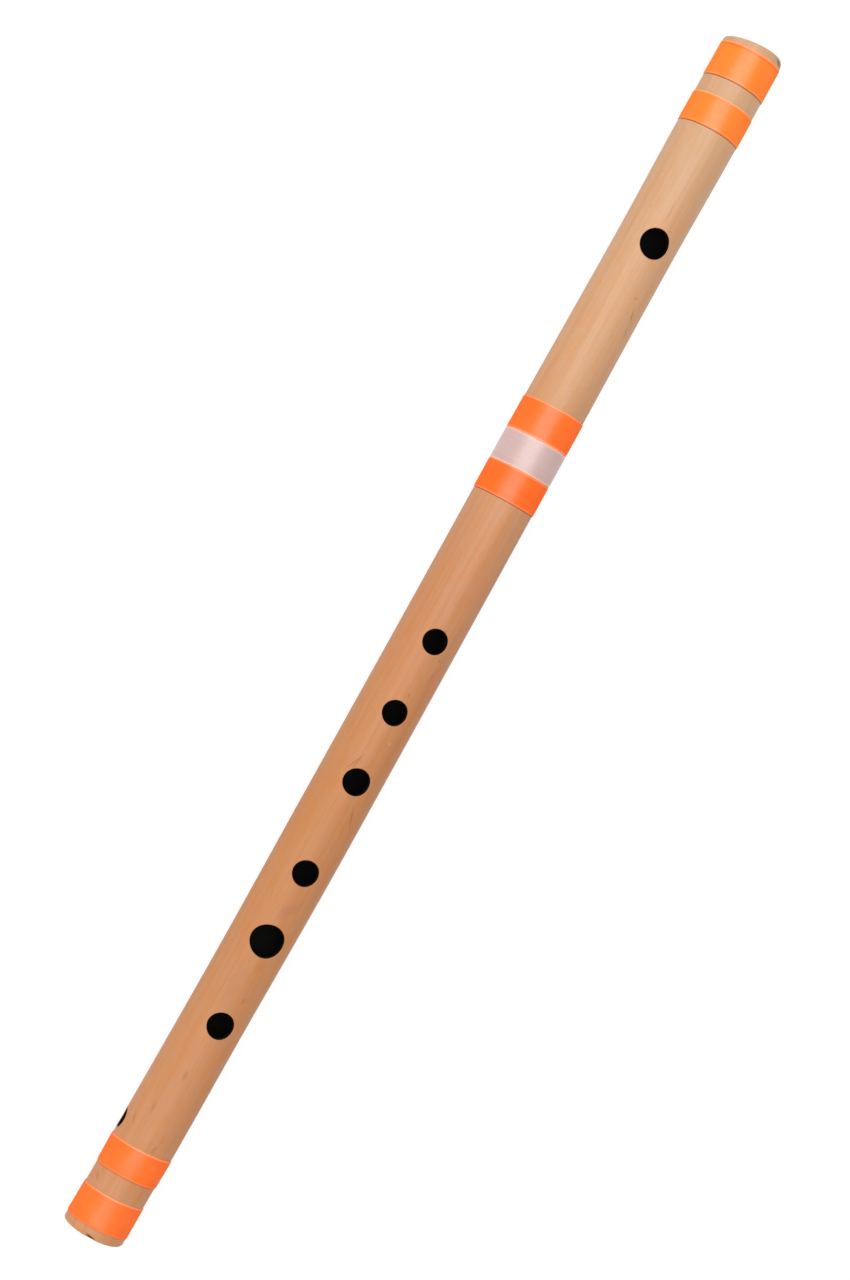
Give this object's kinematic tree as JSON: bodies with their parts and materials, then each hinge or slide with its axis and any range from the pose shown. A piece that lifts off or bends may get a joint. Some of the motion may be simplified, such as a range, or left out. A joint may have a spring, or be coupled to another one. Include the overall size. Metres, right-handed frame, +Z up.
{
  "type": "bansuri",
  "caption": "Side-blown bamboo flute with a blow hole, finger holes along its top and one at its side, a cork inside its open head, and orange and white thread bindings.",
  "frame": {"origin": "on the surface that the flute lies on, under the middle of its box", "axes": "+X along the flute to its head end, +Z up through the blow hole and the finger holes, +Y to the side that the side hole is on"},
  "size_m": [0.48, 0.025, 0.0239],
  "materials": {
    "bamboo": "smooth pale tan bamboo skin, satin, darker towards the foot",
    "orange_thread": "bright orange close-wound thread with a satin sheen",
    "white_thread": "pinkish silver-white close-wound thread with a satin sheen",
    "cork": "natural cork, matt"
  },
  "bodies": {
    "flute": {"bamboo_tube": "bamboo", "head_end_binding": "orange_thread", "head_inner_binding": "orange_thread", "middle_upper_binding": "orange_thread", "middle_white_binding": "white_thread", "middle_lower_binding": "orange_thread", "foot_inner_binding": "orange_thread", "foot_end_binding": "orange_thread"},
    "stopper": {"stopper_cork": "cork"}
  },
  "joints": [
    {"name": "stopper_slide", "type": "slide", "parent": "flute", "child": "stopper", "axis": [1, 0, 0], "range_m": [-0.006, 0.01]}
  ]
}
